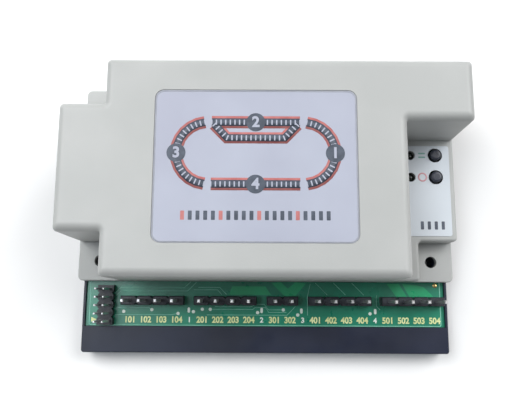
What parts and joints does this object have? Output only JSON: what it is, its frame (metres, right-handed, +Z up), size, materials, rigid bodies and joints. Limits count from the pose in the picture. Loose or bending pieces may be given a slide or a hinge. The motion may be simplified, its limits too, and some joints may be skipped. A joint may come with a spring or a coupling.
{
  "type": "model railway power controller",
  "caption": "Stepped grey electronics case on a black tray, with an open front edge of pin terminals, two push buttons, two indicator lights and three side sockets.",
  "frame": {"origin": "middle of the whole object's footprint, on its underside", "axes": "+X to the right along the terminal row, +Y to the back, away from the terminals, +Z up"},
  "size_m": [0.1212, 0.087, 0.04],
  "materials": {
    "tray_plastic": "satin moulded ABS",
    "cover_plastic": "fine satin moulded ABS",
    "label_film": "printed polycarbonate film",
    "board": "solder-masked glass laminate",
    "insulator": "moulded nylon",
    "tinned_pin": "tinned brass, slightly dull",
    "switch_plastic": "moulded, slightly polished",
    "sheet_steel": "stamped sheet",
    "leg_metal": "tinned",
    "light_lens": "dark tinted epoxy, unlit",
    "spacer_plastic": "moulded nylon",
    "socket_plastic": "moulded polyester",
    "contact_gold": "gold flashed phosphor bronze",
    "power_contact": "nickel plated",
    "can_metal": "drawn can",
    "capacitor_sleeve": "shrunk vinyl sleeve",
    "capacitor_rubber": "moulded",
    "ferrite": "coated ferrite",
    "copper_wire": "enamelled copper",
    "moulding_black": "moulded epoxy",
    "tab_metal": "tinned copper",
    "crystal_can": "nickel plated can",
    "heatsink_metal": "black anodised",
    "screw_steel": "zinc plated",
    "resistor_ceramic": "glazed ceramic",
    "capacitor_ceramic": "sintered ceramic"
  },
  "bodies": {
    "root": {"base_tray": "tray_plastic", "capacitor_cans": "can_metal", "capacitor_legs": "leg_metal", "capacitor_seals": "capacitor_rubber", "capacitor_sleeves": "capacitor_sleeve", "case_screws": "screw_steel", "chip_capacitors": "capacitor_ceramic", "chip_leads": "leg_metal", "chip_resistors": "resistor_ceramic", "circuit_board": "board", "coil_cores": "ferrite", "coil_windings": "copper_wire", "control_label": "label_film", "controller_chip": "moulding_black", "crystal": "crystal_can", "front_light": "light_lens", "front_light_spacer": "spacer_plastic", "front_network_socket": "socket_plastic", "front_snap_dome": "sheet_steel", "front_socket_contacts": "contact_gold", "front_switch_body": "switch_plastic", "front_switch_legs": "leg_metal", "front_switch_plate": "sheet_steel", "header_body": "insulator", "header_pins": "tinned_pin", "heatsink": "heatsink_metal", "heatsink_nut": "screw_steel", "heatsink_screw": "screw_steel", "light_legs": "leg_metal", "power_socket": "socket_plastic", "power_socket_pin": "power_contact", "power_socket_spring": "power_contact", "rear_light": "light_lens", "rear_light_spacer": "spacer_plastic", "rear_network_socket": "socket_plastic", "rear_snap_dome": "sheet_steel", "rear_socket_contacts": "contact_gold", "rear_switch_body": "switch_plastic", "rear_switch_legs": "leg_metal", "rear_switch_plate": "sheet_steel", "regulator_body": "moulding_black", "regulator_legs": "leg_metal", "regulator_tab": "tab_metal", "terminal_pins_1": "tinned_pin", "terminal_pins_2": "tinned_pin", "terminal_pins_3": "tinned_pin", "terminal_pins_4": "tinned_pin", "terminal_pins_5": "tinned_pin", "terminal_strip_1": "insulator", "terminal_strip_2": "insulator", "terminal_strip_3": "insulator", "terminal_strip_4": "insulator", "terminal_strip_5": "insulator", "top_cover": "cover_plastic", "top_label": "label_film", "transistor_bodies": "moulding_black", "transistor_feet": "leg_metal", "transistor_tabs": "tab_metal"},
    "front_button": {"front_button": "switch_plastic"},
    "rear_button": {"rear_button": "switch_plastic"}
  },
  "joints": [
    {"name": "front_button_press", "type": "slide", "parent": "root", "child": "front_button", "axis": [0, 0, -1], "range_m": [0, 0.00025], "stiffness_N_per_m": 4000, "springref_m": -0.0002},
    {"name": "rear_button_press", "type": "slide", "parent": "root", "child": "rear_button", "axis": [0, 0, -1], "range_m": [0, 0.00025], "stiffness_N_per_m": 4000, "springref_m": -0.0002}
  ]
}
